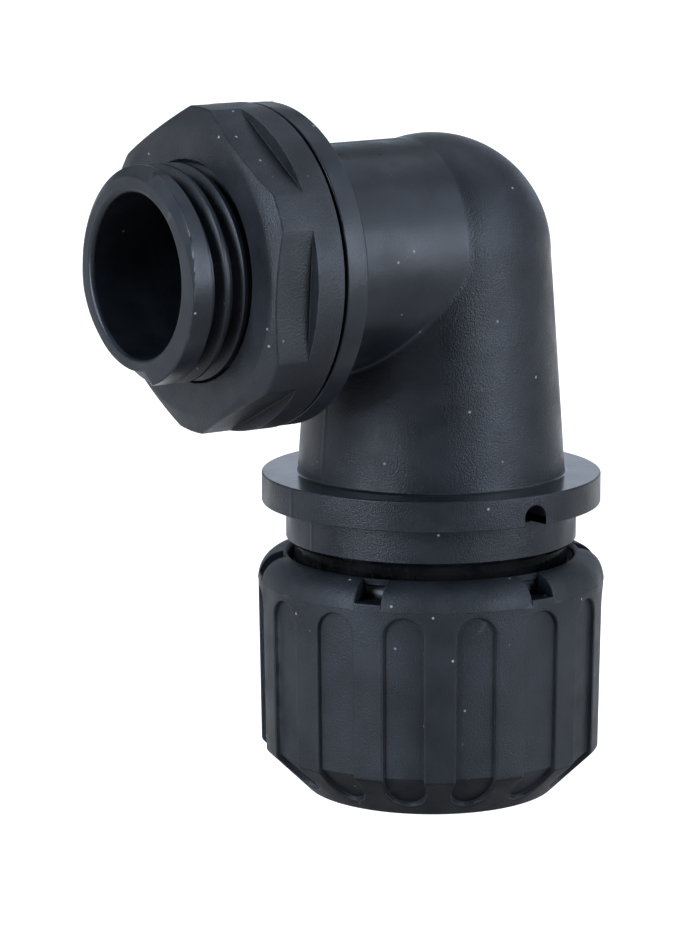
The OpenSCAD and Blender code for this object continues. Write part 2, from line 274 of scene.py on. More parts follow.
# ---------------------------------------------------------------- threads
def thread_section(crest_r, depth, crest_half, inner):
    """(offset from the groove's or ridge's middle, radius) over one pitch, with small round corners."""
    gap = PITCH / 2 - crest_half
    root = gap - depth * FLANK
    root_r = crest_r - depth
    if inner:
        corners = [(-PITCH / 2, root_r), (-gap, root_r, 0.06), (-root, crest_r, 0.06),
                   (root, crest_r, 0.06), (gap, root_r, 0.06), (PITCH / 2, root_r)]
    else:
        corners = [(-PITCH / 2, crest_r), (-gap, crest_r, 0.07), (-root, root_r, 0.06),
                   (root, root_r, 0.06), (gap, crest_r, 0.07), (PITCH / 2, crest_r)]
    section = rounded(corners, 3)
    extra = np.interp([0.33, 0.66], [0, 1], [root, gap])
    offsets = np.unique(np.concatenate([section[:, 0], [0], extra, -extra]))
    return offsets, np.interp(offsets, section[:, 0], section[:, 1])


def thread_grid(place, section, phase, low, high, turn, limit, columns):
    """Points and radii of a helical surface between two heights. limit(h, r) trims it near its ends."""
    offsets, radii = section
    angles = round_angles(columns)
    first = math.floor((low - phase) / PITCH) - 2
    last = math.ceil((high - phase) / PITCH) + 2
    steps = np.concatenate([k * PITCH + offsets[:-1] for k in range(first, last + 1)])
    middle = phase + PITCH * (angles - turn) / TAU
    h = np.clip(middle[:, None] + steps[None, :], low, high)
    away = (h - middle[:, None] + PITCH / 2) % PITCH - PITCH / 2
    r = limit(h, np.interp(away, offsets, radii))
    return place(r, h, angles[:, None]), r


# ---------------------------------------------------------------- elbow body
def tube_radius(z):
    """Radius of the tube and the dome at a height."""
    cone = TUBE_FOOT_R + (BEND_R - TUBE_FOOT_R) * (z - COLLAR_TOP) / (BEND_Z - COLLAR_TOP)
    dome = np.sqrt(np.maximum(BEND_R ** 2 - np.maximum(z - BEND_Z, 0) ** 2, 0))
    return np.where(z < BEND_Z, cone, dome)


def tube_normal(p):
    """Outward normal of the tube and the dome at a point on them."""
    flat = np.array([p[0], p[1], 0.0])
    if p[2] < BEND_Z:
        slope = (TUBE_FOOT_R - BEND_R) / (BEND_Z - COLLAR_TOP)
        return unit(unit(flat) + np.array([0, 0, slope]))
    return unit(p - np.array([0, 0, BEND_Z]))


def put_on_tube(p):
    """Moves a point onto the tube or the dome."""
    if p[2] < BEND_Z:
        flat = np.array([p[0], p[1]])
        flat *= tube_radius(p[2]) / np.linalg.norm(flat)
        return np.array([flat[0], flat[1], p[2]])
    centre = np.array([0, 0, BEND_Z])
    return centre + unit(p - centre) * BEND_R


def build_tube(shell):
    """Tapered tube and dome, with a mould seam on -X and +X. The part inside the arm's wall is left out."""
    angles, lift = seam_angles(200, (math.pi / 2, 3 * math.pi / 2), SEAM_HALF / 9.5, SEAM_EDGE / 9.5)
    profile = rounded(
        [(TUBE_FOOT_R + 0.35, COLLAR_TOP), (TUBE_FOOT_R, COLLAR_TOP, 0.18)]
        + [(float(tube_radius(z)), z) for z in np.linspace(COLLAR_TOP + 1, BEND_Z, 26)], 4)
    rise = np.radians(np.linspace(0, 90, 43))[1:]
    dome = [(BEND_R * math.cos(a), BEND_Z + BEND_R * math.sin(a)) for a in rise]
    profile = np.vstack([profile, dome])
    points = spin(profile, angles, tube_point)
    out = points - np.array([0, 0, 1.0]) * points[..., 2:]
    size = np.linalg.norm(out, axis=-1, keepdims=True)
    fade = np.clip(size / 4, 0, 1)
    points = points + out / np.maximum(size, 1e-9) * lift[:, None, None] * SEAM_H * fade
    quads = grid_quads(np.arange(points.shape[0] * points.shape[1]).reshape(points.shape[:2]))
    flat = points.reshape(-1, 3)
    hidden = (flat[:, 0] < 0) & (np.hypot(flat[:, 1], flat[:, 2] - ARM_Z) < ARM_R - 0.35)
    keep = ~hidden[quads].any(1)
    shell.add(flat, quads[keep])


def build_arm(shell):
    """Arm from the end flange to the crease, where a small fillet meets the tube and the dome."""
    angles, lift = seam_angles(216, (0.0, math.pi), SEAM_HALF / 8.5, SEAM_EDGE / 8.5)
    reach = 0.28
    rows = []
    for a, up in zip(angles, lift):
        # The height of the crease, found in a few rounds because the arm tapers
        h = 5.0
        for _ in range(12):
            r = ARM_ROOT_R + (ARM_R - ARM_ROOT_R) * h / FLANGE_BACK
            tube_r = float(tube_radius(ARM_Z + r * math.cos(a)))
            h = math.sqrt(max(tube_r ** 2 - (r * math.sin(a)) ** 2, 0.04))
        meet = arm_point(r, h, a)
        normal = tube_normal(meet)
        radial = np.array([0, math.sin(a), math.cos(a)])
        away = unit(radial - (radial @ normal) * normal)
        far = put_on_tube(meet + away * reach)
        near = arm_point(r, h + reach, a)
        bend = [near * (1 - t) ** 2 + 2 * meet * t * (1 - t) + far * t * t for t in (0, 0.2, 0.4, 0.6, 0.8, 1)]
        seal = put_on_tube(meet + away * (reach + 0.12)) - normal * 0.03
        straight = []
        for t in np.linspace(0, 1, 9)[:-1]:
            hh = FLANGE_BACK - 0.2 + (h + reach - FLANGE_BACK + 0.2) * t
            rr = ARM_ROOT_R + (ARM_R - ARM_ROOT_R) * hh / FLANGE_BACK + up * SEAM_H
            straight.append(arm_point(rr, hh, a))
        rows.append(straight + bend + [seal])
    shell.grid(np.array(rows), flip=True)


def build_flange(shell):
    """End flange, the gasket's seat and the undercut behind the spigot's thread."""
    angles, lift = seam_angles(216, (0.0, math.pi), SEAM_HALF / FLANGE_R, SEAM_EDGE / FLANGE_R)
    undercut = SPIGOT_R - THREAD_DEPTH - UNDERCUT
    profile = rounded([
        (ARM_R, FLANGE_BACK - 0.2), (ARM_R, FLANGE_BACK, 0.2), (FLANGE_R, FLANGE_BACK, 0.14),
        (FLANGE_R, FLANGE_FRONT, 0.12), (SEAT_R, FLANGE_FRONT, 0.08), (SEAT_R, FLANGE_FRONT - SEAT_DEPTH, 0.08),
        (undercut, FLANGE_FRONT - SEAT_DEPTH, 0.08), (undercut, SPIGOT_THREAD_START, 0.05),
        (SPIGOT_R - 0.06, SPIGOT_THREAD_START)], 4)
    outer = profile[:, 0] > FLANGE_R - 0.2
    points = spin(profile, angles, arm_point)
    points += outer[None, :, None] * lift[:, None, None] * SEAM_H * (
        arm_point(1.0, 0.0, angles)[:, None, :] - np.array([0, 0, ARM_Z]))
    shell.grid(points)


def groove_depth(h, angle):
    """Depth of the spigot's groove. The last turn is missing over the band and open in front at the entry."""
    offsets, radii = thread_section(SPIGOT_R, THREAD_DEPTH, CREST_HALF, False)
    middle = SPIGOT_GROOVE + PITCH * (angle - SPIGOT_TURN) / TAU
    turn = np.round((h - middle) / PITCH)
    depth = SPIGOT_R - np.interp(h - middle - turn * PITCH, offsets, radii)
    turns = (angle - SPIGOT_TURN) / TAU + turn
    start, end = (LAST_TURN + (a - SPIGOT_TURN) / TAU for a in (BAND_FROM, BAND_TO))
    depth = depth * np.clip(np.maximum(start - turns, turns - end) / 0.004, 0, 1)
    inside = np.clip(np.minimum((angle - ENTRY_FROM) / 0.6, (ENTRY_TO - angle) / 0.03), 0, 1)
    ahead = np.clip((h - middle - LAST_TURN * PITCH) / 0.1, 0, 1)
    return np.maximum(depth, 1.05 * inside * ahead)


def build_spigot(shell):
    """Threaded spigot: full thread, plain band at the end on the -Y side, and a rounded mouth."""
    angles = set(np.round(np.linspace(0, TAU, 217), 9))
    for w in (BAND_FROM, BAND_TO, ENTRY_FROM, ENTRY_TO):
        angles |= {w + d for d in (-0.03, -0.024, -0.012, 0.0, 0.012, 0.024, 0.03)}
    angles = np.array(sorted(angles))
    degrees = np.degrees(angles)
    # Radius of the end face's rim, and how fast the radius falls towards it: the front edge is cut back
    # everywhere but on the lower part of the band
    rim = np.interp(degrees, [0, 45, 80, 130, 190, 196, 262, 270, 285, 301, 317, 360],
                    [7.05, 7.3, 7.35, 6.9, 6.8, 7.78, 7.8, 7.75, 7.45, 7.15, 7.0, 7.05])
    slope = np.interp(degrees, [0, 190, 196, 340, 346, 360], [0.55, 0.55, 0.3, 0.3, 0.55, 0.55])

    def surface(h, angle, edge):
        r = SPIGOT_R - groove_depth(h, angle)
        r = np.minimum(r, edge + (SPIGOT_END - h) / slope[:, None])
        return np.minimum(r, SPIGOT_R - np.maximum(SPIGOT_THREAD_START + 0.06 - h, 0))

    offsets = thread_section(SPIGOT_R, THREAD_DEPTH, CREST_HALF, False)[0]
    last = SPIGOT_END - 0.5
    steps = np.concatenate([k * PITCH + offsets[:-1] for k in range(-2, 9)])
    middle = SPIGOT_GROOVE + PITCH * (angles - SPIGOT_TURN) / TAU
    h = np.clip(middle[:, None] + steps[None, :], SPIGOT_THREAD_START, last)
    end_rows = SPIGOT_END - np.array([0.5, 0.42, 0.34, 0.27, 0.2, 0.14, 0.1, 0.07, 0.04, 0.015, 0.0])
    h = np.hstack([h, np.repeat(end_rows[None, :], len(angles), 0)])
    r = surface(h, angles[:, None], rim[:, None])
    shell.grid(arm_point(r, h, angles[:, None]))
    lip = 0.4
    middle_r = r[:, -1] * 0.55 + 6.45 * 0.45
    rings = [arm_point(r[:, -1], SPIGOT_END, angles), arm_point(middle_r, SPIGOT_END, angles)]
    for turn in np.radians([0, 12, 25, 40, 55, 70, 82, 90]):
        rings.append(arm_point(np.full(len(angles), SPIGOT_BORE + lip * (1 - math.sin(turn))),
                               SPIGOT_END - lip * (1 - math.cos(turn)), angles))
    shell.grid(np.stack(rings, 1))


def build_collars(shell):
    """Wide collar with its notch on -Y, second collar, neck and the O-ring's groove."""
    seams = (math.pi / 2, 3 * math.pi / 2)
    notch_r, notch_top = 1.0, COLLAR_BOTTOM + 0.55
    angles, lift = seam_angles(200, seams, SEAM_HALF / COLLAR_R, SEAM_EDGE / COLLAR_R)
    near = np.abs((angles + math.pi) % TAU - math.pi) < math.asin(1.45 / BAND_R)
    beside = np.array([-1.3, -1.1, -1.04, -1.0, -1.0])
    arch = -notch_r * np.cos(np.linspace(0, math.pi, 17))
    edge, low_edge = 0.13, 0.1
    top = rounded([(TUBE_FOOT_R + 0.35, COLLAR_TOP), (COLLAR_R, COLLAR_TOP, edge), (COLLAR_R, 23.9)], 4)

    def outline(start, floor, inner):
        """The collar's top, its wall down to a floor height, then in to the band, or deeper in the notch."""
        wall = [(COLLAR_R, start), (COLLAR_R, floor + low_edge),
                (COLLAR_R - low_edge * 0.3, floor + low_edge * 0.3), (COLLAR_R - low_edge, floor)]
        under = along((COLLAR_R - 0.4, floor), (BAND_R + 0.15, floor), 3)
        if inner:
            end = [(NOTCH_R, floor), (NOTCH_R, COLLAR_BOTTOM), (BAND_R - 0.05, COLLAR_BOTTOM),
                   (BAND_R, COLLAR_BOTTOM - 0.07)]
        else:
            end = [(BAND_R + 0.05, floor - 0.015), (BAND_R + 0.02, floor - 0.03), (BAND_R, floor - 0.05),
                   (BAND_R, floor - 0.07)]
        return np.vstack([top[:-1], wall + under + end])

    whole = outline(23.95, COLLAR_BOTTOM, False)
    columns = []
    for a, up in zip(angles[~near], lift[~near]):
        out = np.where(whole[:, 0] > COLLAR_R - 0.2, up * SEAM_H, 0) + np.where(
            np.abs(whole[:, 0] - BAND_R) < 0.01, up * SEAM_H, 0)
        columns.append(tube_point(whole[:, 0] + out, whole[:, 1], a))
    for x in beside:
        columns.append(tube_point(whole[:, 0], whole[:, 1], np.arcsin(x / whole[:, 0])))
    for x in arch:
        sunk = outline(24.2, notch_top + math.sqrt(max(notch_r ** 2 - x * x, 0)), True)
        columns.append(tube_point(sunk[:, 0], sunk[:, 1], np.arcsin(x / sunk[:, 0])))
    for x in -beside[::-1]:
        columns.append(tube_point(whole[:, 0], whole[:, 1], np.arcsin(x / whole[:, 0])))
    shell.grid(np.array(columns), flip=True, closed=True)
    # Sides of the notch, from the collar's outer wall in to the band
    for side in (-1, 1):
        depths = np.linspace(NOTCH_R, COLLAR_R - 0.1, 8)
        rows = []
        for r in np.append(depths, [COLLAR_R - 0.03, COLLAR_R]):
            y = -math.sqrt(r * r - 1)
            rows.append([(side * 1.0, y, z) for z in np.linspace(COLLAR_BOTTOM, notch_top, 4)])
        shell.grid(np.array(rows), flip=side > 0)
    band, lift = seam_angles(200, seams, SEAM_HALF / BAND_R, SEAM_EDGE / BAND_R)
    undercut = BODY_THREAD_R - THREAD_DEPTH - UNDERCUT
    profile = rounded([
        (BAND_R, COLLAR_BOTTOM - 0.07), (BAND_R, BAND_BOTTOM + 0.25, 0.05), (BAND_R - 0.25, BAND_BOTTOM, 0.05),
        (NECK_R, BAND_BOTTOM, 0.05), (NECK_R, RING_GROOVE_TOP, 0.05), (RING_GROOVE_R, RING_GROOVE_TOP, 0.05),
        (RING_GROOVE_R, RING_GROOVE_BOTTOM, 0.05), (NECK_R, RING_GROOVE_BOTTOM, 0.05),
        (NECK_R, NECK_BOTTOM, 0.1), (undercut, NECK_BOTTOM, 0.1), (undercut, BODY_THREAD_TOP, 0.03),
        (BODY_THREAD_R - 0.95, BODY_THREAD_TOP)], 3)
    profile = np.vstack([along((BAND_R, COLLAR_BOTTOM - 0.07), profile[1], 3)[:-1], profile[1:]])
    raised = lift[:, None] * SEAM_H * (profile[None, :, 0] > BAND_R - 0.01)
    shell.grid(tube_point(profile[None, :, 0] + raised, profile[None, :, 1], band[:, None]), flip=True)


def build_body_thread(shell):
    """Hidden outer thread for the cap nut and the end face below it."""
    section = thread_section(BODY_THREAD_R, THREAD_DEPTH, CREST_HALF, False)

    def limit(h, r):
        start = BODY_THREAD_R - np.maximum(BODY_END + 0.3 - h, 0) * 0.8
        return np.minimum(r, np.minimum(start, BODY_THREAD_R - 0.95 + BODY_THREAD_TOP - h))

    points, r = thread_grid(cad_tube_point, section, BODY_END - PITCH / 2, BODY_END, BODY_THREAD_TOP, 0,
                            limit, 180)
    shell.grid(points)
    angles = round_angles(180)
    rings = [cad_tube_point(r[:, 0], BODY_END, angles),
             cad_tube_point(np.full(len(angles), SOCKET_R), BODY_END, angles)]
    shell.grid(np.stack(rings, 1), flip=True)


def cad_tube_point(r, h, angle):
    """A point about the Z axis with angle 0 on +X, as the CAD's threads count it."""
    return np.stack(np.broadcast_arrays(r * np.cos(angle), r * np.sin(angle), h), -1)


def closed_solid(profile, place, columns):
    """Temporary closed solid of revolution, for the passage inside the body."""
    shell = Shell()
    shell.grid(spin(profile, round_angles(columns), place))
    return shell.build("cutter")


def build_passage(shell):
    """Cable passage: the socket, the tube's bore with its round end, and the arm's bore, as one surface."""
    end_h = SPIGOT_END - 0.4
    tube = [(0, BODY_END), (SOCKET_R, BODY_END), (SOCKET_R, SOCKET_TOP), (TUBE_BORE, SOCKET_TOP)]
    tube += along((TUBE_BORE, SOCKET_TOP + 1), (TUBE_BORE, ARM_Z), 12)
    rise = np.radians(np.linspace(5, 90, 18))[:-1]
    tube += [(TUBE_BORE * math.cos(a), ARM_Z + TUBE_BORE * math.sin(a)) for a in rise]
    tube.append((0, ARM_Z + TUBE_BORE))
    arm = [(0, 0.3)] + along((SPIGOT_BORE, 0.3), (SPIGOT_BORE, end_h), 10) + [(0, end_h)]
    first = closed_solid(tube, tube_point, 128)
    second = closed_solid(arm, arm_point, 96)
    union = first.modifiers.new("union", "BOOLEAN")
    union.operation = "UNION"
    union.solver = "EXACT"
    union.object = second
    bpy.context.view_layer.update()
    evaluated = first.evaluated_get(bpy.context.evaluated_depsgraph_get())
    mesh = bpy.data.meshes.new_from_object(evaluated)
    mesh.calc_loop_triangles()
    points = np.zeros(len(mesh.vertices) * 3)
    mesh.vertices.foreach_get("co", points)
    points = points.reshape(-1, 3) / MM
    tris = np.zeros(len(mesh.loop_triangles) * 3, np.int32)
    mesh.loop_triangles.foreach_get("vertices", tris)
    tris = tris.reshape(-1, 3)
    # Without its two end faces
    corner = points[tris]
    at_bottom = (np.abs(corner[..., 2] - BODY_END) < 1e-3).all(1)
    at_end = (np.abs(corner[..., 0] + end_h) < 1e-3).all(1)
    tris = tris[~(at_bottom | at_end)]
    shell.add(points, np.column_stack([tris[:, 0], tris[:, 2], tris[:, 1], tris[:, 1]]))
    for temp in (first, second):
        bpy.data.objects.remove(temp)
    bpy.data.meshes.remove(mesh)


def build_body():
    """The elbow body, one moulding."""
    shell = Shell()
    build_tube(shell)
    build_arm(shell)
    build_flange(shell)
    build_spigot(shell)
    build_collars(shell)
    build_body_thread(shell)
    build_passage(shell)
    return shell.build("elbow_body_moulding", finish=body_finish_and_shade)


def body_finish_and_shade(centre, normal):
    """0: grained tube, collars and thread. 1: glossy neck, darkened almost to black and barely reflecting as painted
    shade in its recess between band and nut. 2: smooth collar top. 3: smoother arm and spigot.
    """
    axis = np.hypot(centre[:, 0], centre[:, 1])
    z = centre[:, 2]
    # Neck faces get the near-black, barely reflecting material: painted shade in the recess between band and nut.
    neck = (z < BAND_BOTTOM + 0.3) & (z > NECK_BOTTOM) & (axis > 9.3)
    top = (z > COLLAR_TOP - 0.02) & (z < COLLAR_TOP + 0.05) & (normal[:, 2] > 0.7) & (axis > TUBE_FOOT_R)
    arm = (centre[:, 0] < -1) & (np.hypot(centre[:, 1], z - ARM_Z) < FLANGE_R + 1) & (z > COLLAR_TOP + 4)
    arm &= np.abs(axis - tube_radius(z)) > 0.05
    return np.where(neck, 1, np.where(top, 2, np.where(arm, 3, 0)))


# ---------------------------------------------------------------- lock nut
def build_lock_nut():
    """Hexagon cut into a round disc. The full round rim stays at the back."""
    shell = Shell()
    rim_front = LOCK_BACK + LOCK_RIM_T
    flat_r = LOCK_AF / 2
    half_flat = math.acos(flat_r / LOCK_R)
    # Angle 0 of arm_point is +Z and it grows towards +Y: the flats' middles lie half a side from a corner
    middles = [LOCK_TURN + math.radians(30) + k * math.pi / 3 for k in range(6)]
    angles = []
    for middle in middles:
        angles += list(middle + np.linspace(-half_flat, half_flat, 19))
        gap = math.pi / 3 - 2 * half_flat
        angles += list(middle + half_flat + gap * np.array([0.04, 0.15, 0.5, 0.85, 0.96]))
    angles = np.array(angles)
    turn = (angles - LOCK_TURN - math.radians(30) + math.pi / 6) % (math.pi / 3) - math.pi / 6
    flat = np.minimum(flat_r / np.cos(turn), LOCK_R)
    ease = np.abs(np.abs(turn) - half_flat) < 0.03
    flat = flat - ease * 0.012
    edge = 0.11
    cone_r = flat_r - 0.4
    # The thread's bore opens to its mouth over the length of a countersink, at both ends
    bore = SPIGOT_R - THREAD_DEPTH + 0.15
    mouth = SPIGOT_R + THREAD_GAP + 0.04
    entry, sink = LOCK_FRONT - 0.12, 1.4
    columns = []
    for a, r in zip(angles, flat):
        step = max(LOCK_R - r, 0.0)
        soft = min(step, 0.06)
        drop = 0.5 * np.clip((r - cone_r) / (LOCK_R - cone_r), 0, 1)
        front = LOCK_FRONT - drop
        prof = [
            (mouth, LOCK_BACK), (LOCK_R - 2.0, LOCK_BACK), (LOCK_R - edge, LOCK_BACK),
            (LOCK_R - edge * 0.3, LOCK_BACK + edge * 0.3), (LOCK_R, LOCK_BACK + edge),
            (LOCK_R, rim_front - 0.5), (LOCK_R, rim_front - soft), (LOCK_R - soft * 0.3, rim_front - soft * 0.3),
            (LOCK_R - soft, rim_front), (r + min(step * 0.3, 0.05), rim_front),
            (r, rim_front + min(step, 0.05)),
            (r, rim_front + 0.5), (r, (rim_front + front) / 2), (r, front - 0.4), (r, front - 0.17),
            (r - 0.02, front - 0.09), (r - 0.07, front - 0.01), (r - 0.16, front + 0.04),
            (cone_r + (r - 0.16 - cone_r) * 0.5, LOCK_FRONT - drop * 0.45), (cone_r, LOCK_FRONT),
            (cone_r - 0.3, LOCK_FRONT), (9.0, LOCK_FRONT), (mouth + 0.14, LOCK_FRONT),
            (mouth + 0.04, LOCK_FRONT - 0.03), (mouth, entry)]
        prof = np.array(prof)
        columns.append(arm_point(prof[:, 0], prof[:, 1], a))
    shell.grid(np.array(columns), closed=True)
    section = thread_section(SPIGOT_R + THREAD_GAP, THREAD_DEPTH, NUT_CREST_HALF, True)

    def limit(h, r):
        front = bore + (h - (entry - sink)) / sink * (mouth - bore)
        back = bore + ((LOCK_BACK + sink) - h) / sink * (mouth - bore)
        return np.maximum(r, np.maximum(front, back))

    points, _ = thread_grid(arm_point, section, SPIGOT_GROOVE + PITCH / 2, LOCK_BACK, entry,
                            SPIGOT_TURN, limit, 144)
    shell.grid(points, flip=True)
    return shell.build("lock_nut_moulding")


# ---------------------------------------------------------------- cap nut
def wall_tables():
    """Radius and normal of the cap nut's wall by height."""
    # The runs of the chamfer and of the drafted wall above it, as radius and height, and their normals
    chamfer_run, upper_run = np.array([3.5, CHAMFER_TOP]), np.array([0.2, 13.0])
    chamfer = unit(np.array([chamfer_run[1], -chamfer_run[0]]))
    upper = unit(np.array([upper_run[1], -upper_run[0]]))
    corner = np.array([CHAMFER_TOP_R, CHAMFER_TOP])
    radius = 0.5
    half = (math.pi - math.acos(chamfer @ upper)) / 2
    reach = radius / math.tan(half)
    low_end = corner - unit(chamfer_run) * reach
    high_end = corner + unit(upper_run) * reach
    centre = low_end - chamfer * radius
    rows = [(CHAMFER_FOOT_R, 0.0, *chamfer), (*low_end, *chamfer)]
    for t in np.linspace(0, 1, 9)[1:-1]:
        n = unit(chamfer * (1 - t) + upper * t)
        rows.append((*(centre + n * radius), *n))
    rows += [(*high_end, *upper), (NUT_R, SHOULDER_START, *upper)]
    return np.array(rows)


WALL = wall_tables()


def wall_point(z, depth, turn, x=None, angle=None):
    """Point on the nut's wall at height z, sunk by depth. Placed at a sideways offset x or at an angle."""
    r = np.interp(z, WALL[:, 1], WALL[:, 0])
    nr = np.interp(z, WALL[:, 1], WALL[:, 2])
    nz = np.interp(z, WALL[:, 1], WALL[:, 3])
    size = math.hypot(nr, nz)
    radius, height = r - depth * nr / size, z - depth * nz / size
    local = math.asin(x / radius) if angle is None else angle
    return tube_point(radius, height, turn + local)


def recess_cell(shell, turn):
    """One fifteenth of the nut's wall: a grip recess as rings of its outline, out to the cell's edge."""
    half = TAU / (2 * GRIPS)
    low_c, high_c = RECESS_LOW + RECESS_R, RECESS_HIGH - RECESS_R
    corner_z = [2.8, 3.1, 3.2, 3.3, 3.4, 3.5, 3.6, 3.9]
    levels = [z for z in corner_z if z > low_c] + [5.5, 8.0, 10.5, 12.8]
    psi = np.linspace(-math.pi / 2, math.pi / 2, 21)
    stations = [("top", p) for p in psi] + [("right", z) for z in levels[::-1]]
    stations += [("bottom", p) for p in psi[::-1]] + [("left", z) for z in levels]
    rings = [(-RECESS_R, RECESS_D), (-0.9, RECESS_D), (-0.17, RECESS_D), (-0.09, RECESS_D - 0.015),
             (-0.045, RECESS_D - 0.07), (-0.025, 0.12), (0.0, 0.07), (0.045, 0.02), (0.11, 0.0), (0.28, 0.0)]
    split = psi[16]
    grid = []
    for kind, value in stations:
        column = []
        for offset, depth in rings:
            radius = RECESS_R + offset
            if kind in ("top", "bottom"):
                x = radius * math.sin(value)
                z = high_c + radius * math.cos(value) if kind == "top" else low_c - radius * math.cos(value)
            else:
                x, z = (radius if kind == "right" else -radius), value
            column.append(wall_point(z, depth, turn, x=x))
        if kind in ("top", "bottom"):
            edge, start = (CELL_HIGH, high_c) if kind == "top" else (CELL_LOW, low_c)
            if abs(value) <= split:
                place = (half * value / split, edge)
            else:
                t = (abs(value) - split) / (math.pi / 2 - split)
                place = (math.copysign(half, value), edge + (start - edge) * t)
        else:
            place = (half if kind == "right" else -half, value)
        column.append(wall_point(place[1], 0.0, turn, angle=place[0]))
        grid.append(column)
    shell.grid(np.array(grid), closed=True)
    return [half * p / split for p in psi if abs(p) <= split + 1e-9]


def shoulder_grid(shell, cell_angles):
    """Round shoulder with slots that go through under the rim, then the lip and down inside it."""
    steps = np.radians([0, 8, 16, 25, 35, 45, 55, 65, 74, 82, 90])
    shoulder_r = NUT_R - SHOULDER_R
    arc = [(shoulder_r + SHOULDER_R * math.cos(a), SHOULDER_START + SHOULDER_R * math.sin(a)) for a in steps]
    start_r = float(np.interp(CELL_HIGH, WALL[:, 1], WALL[:, 0]))
    seam = [(NUT_R - 0.001, 16.34), (NUT_R + 0.03, 16.37), (NUT_R + 0.03, 16.42)]
    outer = np.array([(start_r, CELL_HIGH)] + seam + arc[1:])
    turned = np.concatenate([np.zeros(4), steps[1:]])
    normals = np.stack([np.cos(turned), np.sin(turned)], -1)
    lip = np.array([(11.22, 18.385), (11.12, 18.33), (11.04, 18.24), (10.98, 18.1), (RIM_BORE_R, SLOT_WINDOW_TOP)])
    inside = np.array([(RIM_BORE_R, SLOT_BOTTOM), (RIM_BORE_R, 14.8), (10.9, RIM_FLOOR), (10.16, RIM_FLOOR),
                       (NUT_THREAD_MOUTH_R, NUT_THREAD_TOP)])
    slots = [NUT_TURN + k * TAU / SLOTS for k in range(SLOTS)]
    clear = math.asin(1.5 / RIM_BORE_R)
    keep = [a for a in cell_angles if min(abs((a - s + math.pi) % TAU - math.pi) for s in slots) > clear]
    fade = np.concatenate([[0, 0, 0, 0.3], np.ones(len(outer) - 6), [0.6, 0.0]])
    side = ((1.35, 0), (1.15, 0), (1.09, 0.02), (1.055, 0.055), (SLOT_HALF, 0.1))

    def column(head, middle, x=None):
        prof = np.vstack([head, lip, inside])
        return tube_point(prof[:, 0], prof[:, 1], middle if x is None else middle + np.arcsin(x / prof[:, 0]))

    def edge_wall(drop):
        return outer - normals * (drop * fade)[:, None]

    # Whole wall between one slot and the next
    for s in slots:
        after = s + TAU / SLOTS
        between = sorted((a - s) % TAU for a in keep)
        between = [s + a for a in between if a < TAU / SLOTS]
        rows = [column(edge_wall(drop), s, x) for x, drop in side[::-1]]
        rows += [column(outer, a) for a in between]
        rows += [column(edge_wall(drop), after, -x) for x, drop in side]
        shell.grid(np.array(rows))
    # The slots: floor, sides and the rim that bridges each one
    corner = np.array([(start_r, CELL_HIGH), (NUT_R, 16.77), (NUT_R - 0.03, 16.85), (NUT_R - 0.13, SLOT_BOTTOM)])
    floor = np.vstack([corner, along((12.7, SLOT_BOTTOM), (RIM_BORE_R, SLOT_BOTTOM), 4), inside[1:]])
    bridge = np.array([(SLOT_R, SLOT_WINDOW_TOP), (SLOT_R, 18.28), (SLOT_R - 0.03, 18.37), (NUT_R - 2, 18.4)])
    bridge = np.vstack([bridge, lip, [(SLOT_R, SLOT_WINDOW_TOP)]])
    roof = [(12.5, SLOT_BOTTOM), (12.2, SLOT_BOTTOM), (12.0, 17.1), (11.8, 17.4), (11.6, 17.7),
            (SLOT_R, SLOT_WINDOW_TOP)]
    wall = edge_wall(0.1)[4:-1]
    low = np.array([(13.0, SLOT_BOTTOM), (12.8, SLOT_BOTTOM)] + roof + [(SLOT_R, 18.28)])
    fan = np.stack([wall, low[:len(wall)]])
    under = np.array([roof, [(r, SLOT_BOTTOM) for r in (12.3, 11.9, 11.7, 11.4, 11.2, RIM_BORE_R)]])
    back = np.array([[(SLOT_R, SLOT_WINDOW_TOP), (RIM_BORE_R, SLOT_WINDOW_TOP)],
                     [(RIM_BORE_R, SLOT_BOTTOM), (RIM_BORE_R, SLOT_BOTTOM)]])
    spread = np.linspace(-SLOT_HALF, SLOT_HALF, 5)
    for s in slots:
        for prof in (floor, bridge):
            shell.grid(np.array([tube_point(prof[:, 0], prof[:, 1], s + np.arcsin(x / prof[:, 0])) for x in spread]))
        for sign in (-1, 1):
            for patch in (fan, under, back):
                aside = np.arcsin(sign * SLOT_HALF / patch[..., 0])
                shell.grid(tube_point(patch[..., 0], patch[..., 1], s + aside), flip=sign > 0)


def build_cap_nut():
    """The cap nut, one moulding."""
    shell = Shell()
    cell_angles = []
    for k in range(GRIPS):
        turn = NUT_TURN + k * TAU / GRIPS
        cell_angles += [turn + a for a in recess_cell(shell, turn)][:-1]
    shoulder_grid(shell, cell_angles)
    base = rounded([(NUT_BORE_R, 2.4), (NUT_BORE_R, FOOT_T, 0.1), (FOOT_BORE_R, FOOT_T, 0.15),
                    (FOOT_BORE_R, 0, 0.25), (CHAMFER_FOOT_R, 0, 0.2),
                    (float(np.interp(CELL_LOW, WALL[:, 1], WALL[:, 0])), CELL_LOW)], 5)
    angles = np.array(sorted(a % TAU for a in cell_angles))
    shell.grid(spin(base, angles, tube_point), closed=True)
    low = along((NUT_BORE_R, NUT_THREAD_BOTTOM), (NUT_BORE_R, 2.4), 4)
    shell.grid(spin(np.array(low), round_angles(120), tube_point))
    section = thread_section(BODY_THREAD_R + THREAD_GAP, THREAD_DEPTH, NUT_CREST_HALF, True)

    def limit(h, r):
        threaded = np.maximum(np.where(h < NUT_THREAD_BOTTOM + 0.05, NUT_BORE_R, r), NUT_BORE_R)
        return np.maximum(threaded, NUT_THREAD_MOUTH_R + h - NUT_THREAD_TOP)

    points, _ = thread_grid(cad_tube_point, section, BODY_END, NUT_THREAD_BOTTOM, NUT_THREAD_TOP, 0, limit, 144)
    shell.grid(points, flip=True)
    return shell.build("cap_nut_moulding", finish=nut_finish_and_shade)


